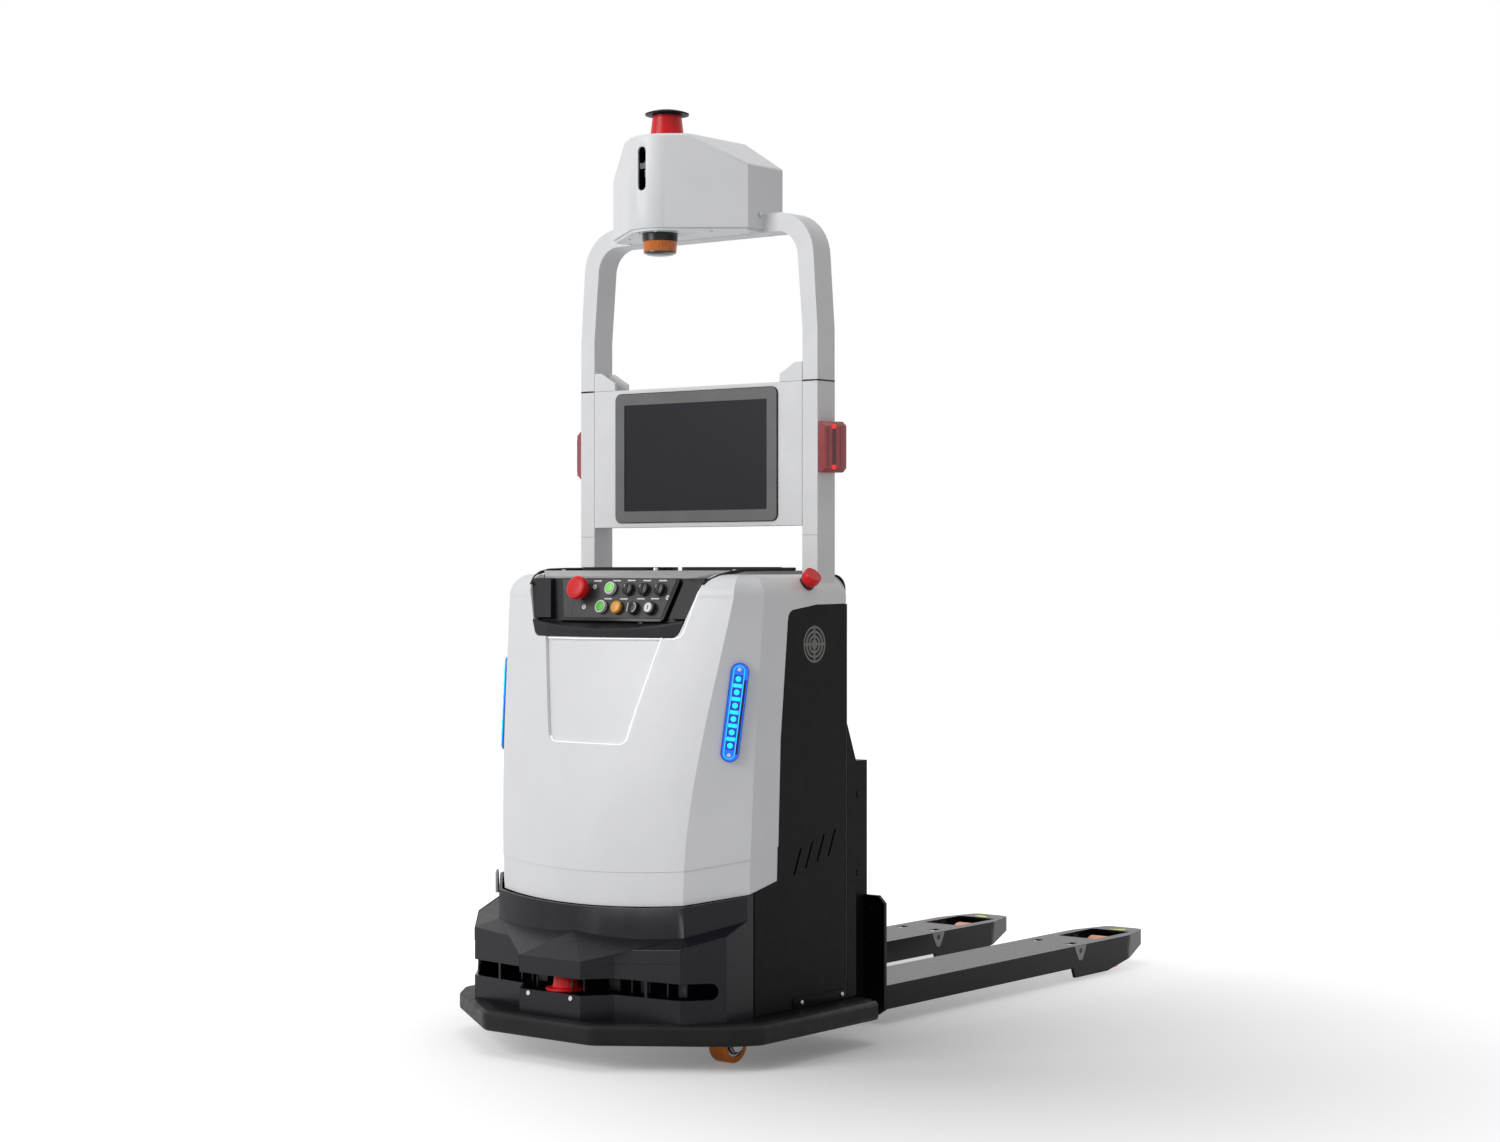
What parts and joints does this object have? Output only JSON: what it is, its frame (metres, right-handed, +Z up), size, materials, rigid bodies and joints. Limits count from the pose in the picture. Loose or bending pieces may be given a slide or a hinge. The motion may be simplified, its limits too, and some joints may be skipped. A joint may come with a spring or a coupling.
{
  "type": "automated guided vehicle",
  "caption": "Driverless low-lift pallet truck with a steered drive wheel, casters, lifting fork with load rollers, touch screen between posts and a scanner head on an arch.",
  "frame": {"origin": "on the floor under the middle of the whole truck's box", "axes": "+Z up, +Y towards the fork tips, X across, the nose towards -Y"},
  "size_m": [0.82, 1.962, 1.9616],
  "materials": {
    "white_paint": "satin white paint on moulded covers",
    "grey_paint": "light grey satin powder coat on the posts and arch",
    "black_paint": "fine textured black powder coat",
    "black_cover": "matt moulded black plastic",
    "frame_steel": "black painted steel",
    "bumper_rubber": "matt black rubber",
    "black_plastic": "black plastic",
    "red_plastic": "red plastic",
    "button_plastic": "coloured push buttons",
    "screen_frame": "grey bezel",
    "screen_glass": "dark gloss screen",
    "blue_lens": "clear blue lens over a lamp strip",
    "red_lens": "red lamp lens",
    "amber_lens": "orange lamp lens",
    "fork_paint": "black painted steel forks",
    "bright_steel": "machined steel",
    "drive_tyre": "polyurethane tread",
    "caster_tyre": "orange polyurethane",
    "roller_tyre": "peach polyurethane",
    "battery_case": "battery case"
  },
  "bodies": {
    "chassis": {"base_plate": "black_paint", "bumper": "bumper_rubber", "chassis_frame": "frame_steel", "battery": "battery_case", "front_cover": "white_paint", "side_panel_right": "black_paint", "side_panel_left": "black_paint", "fan_grilles": "bright_steel", "rear_cover": "black_paint", "top_lid": "black_plastic", "control_panel": "black_plastic", "control_buttons": "button_plastic", "emergency_stop": "red_plastic", "stop_knobs": "red_plastic", "side_lights": "blue_lens", "lower_cover": "black_cover", "safety_scanner": "red_plastic", "lower_posts": "grey_paint", "arch_frame": "grey_paint", "screen_panel": "grey_paint", "screen_bezel": "screen_frame", "screen_glass": "screen_glass", "post_lamps": "red_lens", "head_housing": "white_paint", "head_base_plate": "grey_paint", "head_camera": "black_plastic", "lidar_scanner": "red_plastic", "lidar_cap": "black_plastic", "warning_beacon": "amber_lens", "lift_rails": "bright_steel", "lift_cylinder": "frame_steel"},
    "drive_unit": {"drive_yoke": "frame_steel"},
    "drive_roll": {"drive_wheel": "drive_tyre"},
    "fork_frame": {"mast_box": "black_paint", "fork_carriage": "fork_paint", "fork_right": "fork_paint", "fork_left": "fork_paint", "push_rods": "bright_steel"},
    "caster_right": {"caster_fork_right": "bright_steel"},
    "caster_roll_right": {"caster_wheel_right": "caster_tyre"},
    "lever_right": {"roller_lever_right": "frame_steel"},
    "carrier_right": {"roller_carrier_right": "bright_steel"},
    "roller_rear_right": {"load_roller_rear_right": "roller_tyre"},
    "roller_front_right": {"load_roller_front_right": "roller_tyre"},
    "caster_left": {"caster_fork_left": "bright_steel"},
    "caster_roll_left": {"caster_wheel_left": "caster_tyre"},
    "lever_left": {"roller_lever_left": "frame_steel"},
    "carrier_left": {"roller_carrier_left": "bright_steel"},
    "roller_rear_left": {"load_roller_rear_left": "roller_tyre"},
    "roller_front_left": {"load_roller_front_left": "roller_tyre"}
  },
  "joints": [
    {"name": "drive_steer", "type": "hinge", "parent": "chassis", "child": "drive_unit", "pos_m": [0, -0.579, 0.252], "axis": [0, 0, 1], "range_deg": [-90, 90]},
    {"name": "drive_spin", "type": "hinge", "parent": "drive_unit", "child": "drive_roll", "pos_m": [0, -0.579, 0.105], "axis": [1, 0, 0], "continuous": true},
    {"name": "fork_lift", "type": "slide", "parent": "chassis", "child": "fork_frame", "axis": [0, 0, 1], "range_m": [0, 0.12]},
    {"name": "caster_swivel_right", "type": "hinge", "parent": "chassis", "child": "caster_right", "pos_m": [0.29, -0.75, 0.085], "axis": [0, 0, 1], "continuous": true},
    {"name": "caster_spin_right", "type": "hinge", "parent": "caster_right", "child": "caster_roll_right", "pos_m": [0.29, -0.728, 0.038], "axis": [1, 0, 0], "continuous": true},
    {"name": "lever_swing_right", "type": "hinge", "parent": "fork_frame", "child": "lever_right", "pos_m": [0.20025, 0.681, 0.06], "axis": [-1, 0, 0], "range_deg": [0, 60]},
    {"name": "carrier_level_right", "type": "hinge", "parent": "lever_right", "child": "carrier_right", "pos_m": [0.20025, 0.833, 0.037], "axis": [-1, 0, 0], "range_deg": [-60, 0]},
    {"name": "roller_spin_rear_right", "type": "hinge", "parent": "carrier_right", "child": "roller_rear_right", "pos_m": [0.20025, 0.793, 0.037], "axis": [1, 0, 0], "continuous": true},
    {"name": "roller_spin_front_right", "type": "hinge", "parent": "carrier_right", "child": "roller_front_right", "pos_m": [0.20025, 0.873, 0.037], "axis": [1, 0, 0], "continuous": true},
    {"name": "caster_swivel_left", "type": "hinge", "parent": "chassis", "child": "caster_left", "pos_m": [-0.29, -0.75, 0.085], "axis": [0, 0, 1], "continuous": true},
    {"name": "caster_spin_left", "type": "hinge", "parent": "caster_left", "child": "caster_roll_left", "pos_m": [-0.29, -0.728, 0.038], "axis": [1, 0, 0], "continuous": true},
    {"name": "lever_swing_left", "type": "hinge", "parent": "fork_frame", "child": "lever_left", "pos_m": [-0.20025, 0.681, 0.06], "axis": [-1, 0, 0], "range_deg": [0, 60]},
    {"name": "carrier_level_left", "type": "hinge", "parent": "lever_left", "child": "carrier_left", "pos_m": [-0.20025, 0.833, 0.037], "axis": [-1, 0, 0], "range_deg": [-60, 0]},
    {"name": "roller_spin_rear_left", "type": "hinge", "parent": "carrier_left", "child": "roller_rear_left", "pos_m": [-0.20025, 0.793, 0.037], "axis": [1, 0, 0], "continuous": true},
    {"name": "roller_spin_front_left", "type": "hinge", "parent": "carrier_left", "child": "roller_front_left", "pos_m": [-0.20025, 0.873, 0.037], "axis": [1, 0, 0], "continuous": true}
  ],
  "couplings": [
    {"joint": "lever_swing_right", "follows": "fork_lift", "rad_per_m": 8.7065},
    {"joint": "carrier_level_right", "follows": "fork_lift", "rad_per_m": -8.7065},
    {"joint": "lever_swing_left", "follows": "fork_lift", "rad_per_m": 8.7065},
    {"joint": "carrier_level_left", "follows": "fork_lift", "rad_per_m": -8.7065}
  ]
}
